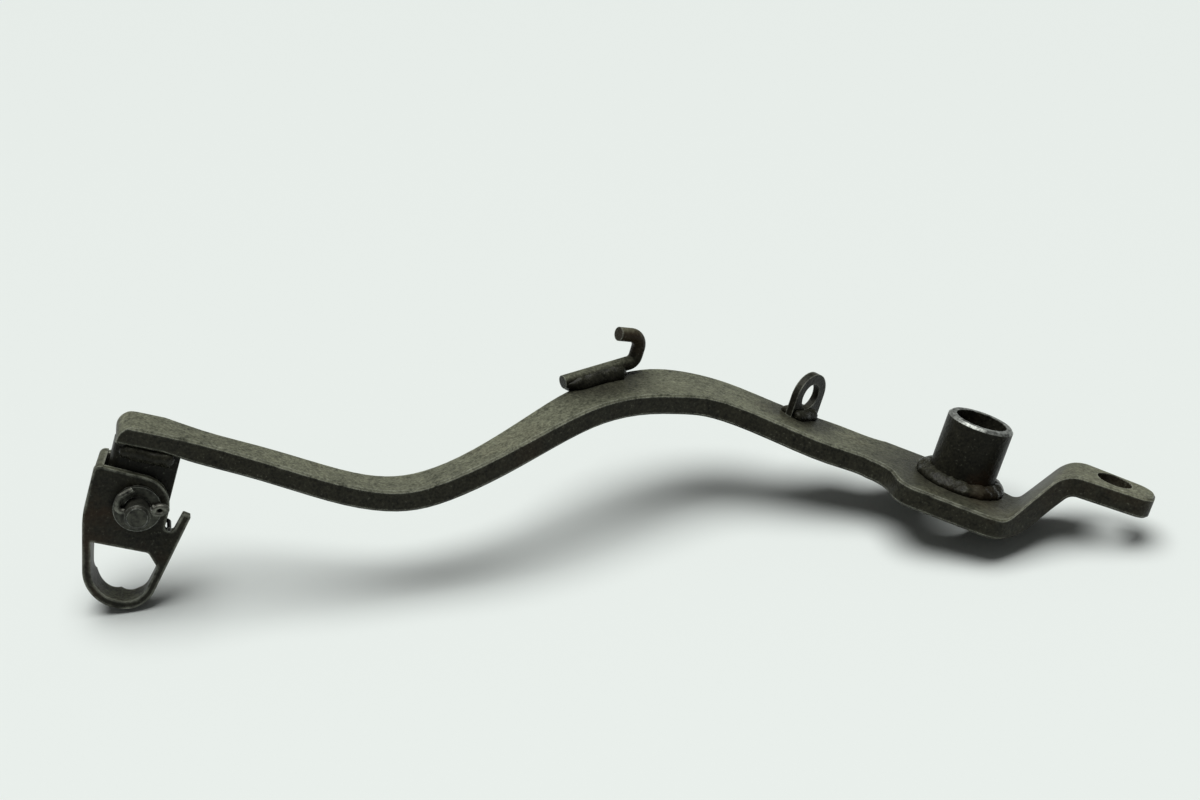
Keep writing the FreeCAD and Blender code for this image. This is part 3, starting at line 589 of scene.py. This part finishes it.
class PEDAL_OT_weld_beads(bpy.types.Operator):
    """Lay lumpy beads where the welds are"""
    bl_idname = "pedal.weld_beads"
    bl_label = "Weld beads"

    def hook_fillet(self, beads):
        """The hook's bead, filled out up to the rod's leg and along it."""
        low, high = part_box("spring_hook_weld")
        piece = merged_copy("spring_hook_weld", BEADS["spring_hook_weld"][0])
        leg = merged_copy("spring_hook", "leg")
        start, end = low[0] - beads.hook_reach, high[0] + beads.hook_reach / 2
        clear = high[2] - beads.hook_cover
        pick(leg, lambda place: not (start < place.x < end and place.z < clear))
        bpy.ops.mesh.delete(type="VERT")
        bpy.ops.object.mode_set(mode="OBJECT")
        only(piece)
        leg.select_set(True)
        bpy.ops.object.join()
        pick(piece)
        bpy.ops.mesh.convex_hull()
        bpy.ops.object.mode_set(mode="OBJECT")
        return piece

    def execute(self, context):
        beads, finish = context.scene.pedal_beads, context.scene.pedal_finish
        coat = enamel(
            "Bead enamel", dust_and_top_light_reach=0.12, rust_reach=0.2, base=finish.soot, aged=0.6, sheen=0.24)
        lumps = bpy.data.textures.new("Bead lumps", "CLOUDS")
        lumps.noise_scale = beads.lump_size
        lumps.noise_depth = 1
        for node, (name, share, swell) in BEADS.items():
            filled = node == "spring_hook_weld"
            piece = self.hook_fillet(beads) if filled else merged_copy(node, name)
            apply(piece, "REMESH", mode="VOXEL", voxel_size=beads.voxel)
            apply(piece, "DISPLACE", strength=swell * beads.swell, mid_level=0)
            apply(piece, "DISPLACE", texture=lumps, texture_coords="LOCAL",
                  strength=share * beads.lump_height, mid_level=0.2)
            apply(piece, "SMOOTH", iterations=beads.softening, factor=0.5)
            bpy.ops.object.shade_smooth()
            take_over(piece, node, "arm", coat)
        return {"FINISHED"}


class PEDAL_OT_bench(bpy.types.Operator):
    """Set the bench, the soft light and the camera"""
    bl_idname = "pedal.bench"
    bl_label = "Bench and light"

    def execute(self, context):
        bench = context.scene.pedal_bench
        low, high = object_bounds()
        bpy.ops.mesh.primitive_plane_add(size=bench.floor_size, location=(0, 0, low[2]))
        floor = context.object
        floor.name = "bench_top"
        material, tree, shader = surface("Pale bench laminate")
        shader.inputs["Base Color"].default_value = rgba(bench.top)
        shader.inputs["Roughness"].default_value = 0.6
        shader.inputs["Specular IOR Level"].default_value = 0.2
        floor.data.materials.append(material)
        floor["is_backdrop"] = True

        middle = (Vector(low) + Vector(high)) / 2
        offset = Vector(bench.lamp_place)
        aim = offset.to_track_quat("Z", "Y").to_euler()
        bpy.ops.object.light_add(type="SUN", location=middle + offset, rotation=aim)
        lamp = context.object
        lamp.name = "soft_lamp"
        lamp.data.angle = bench.lamp_spread
        lamp.data.energy = bench.lamp_strength

        world = bpy.data.worlds.new("Even fill")
        world.use_nodes = True
        sky = world.node_tree.nodes["Background"]
        sky.inputs["Color"].default_value = (1, 1, 1, 1)
        sky.inputs["Strength"].default_value = bench.sky
        context.scene.world = world

        bpy.ops.object.camera_add(location=bench.camera_place, rotation=bench.camera_turn)
        camera = context.object
        camera.data.lens = bench.lens
        camera.data.sensor_width = bench.sensor
        context.scene.camera = camera
        context.scene.view_settings.view_transform = "Standard"
        return {"FINISHED"}


class PEDAL_PT_panel(bpy.types.Panel):
    """Lists the pedal's pieces and the bench"""
    bl_idname = "PEDAL_PT_panel"
    bl_label = "Rear brake pedal"
    bl_space_type = "VIEW_3D"
    bl_region_type = "UI"
    bl_category = "Pedal"

    def draw(self, context):
        for operator in OPERATORS:
            self.layout.operator(operator.bl_idname)
        for group in GROUPS:
            box = self.layout.box()
            settings = getattr(context.scene, group)
            for key in settings.__annotations__:
                box.prop(settings, key)


GROUPS = {
    "pedal_finish": PedalFinish, "pedal_forms": PedalForms,
    "pedal_beads": PedalBeads, "pedal_bench": PedalBench,
}
OPERATORS = (
    PEDAL_OT_arm, PEDAL_OT_sleeve, PEDAL_OT_spring_fittings, PEDAL_OT_toe_bracket, PEDAL_OT_toe_piece,
    PEDAL_OT_hinge_set, PEDAL_OT_weld_beads, PEDAL_OT_bench,
)


def register():
    """Make the settings, the operators and the panel known to Blender."""
    for key, group in GROUPS.items():
        bpy.utils.register_class(group)
        setattr(bpy.types.Scene, key, PointerProperty(type=group))
    for item in (*OPERATORS, PEDAL_PT_panel):
        bpy.utils.register_class(item)


def unregister():
    """Take them back."""
    for item in reversed((*OPERATORS, PEDAL_PT_panel)):
        bpy.utils.unregister_class(item)
    for key, group in reversed(GROUPS.items()):
        delattr(bpy.types.Scene, key)
        bpy.utils.unregister_class(group)


def main():
    """Dress every piece and set the bench."""
    register()
    bpy.ops.pedal.arm()
    bpy.ops.pedal.sleeve()
    bpy.ops.pedal.spring_fittings()
    bpy.ops.pedal.toe_bracket()
    bpy.ops.pedal.toe_piece()
    bpy.ops.pedal.hinge_set()
    bpy.ops.pedal.weld_beads()
    bpy.ops.pedal.bench()


if __name__ == "__main__":
    main()
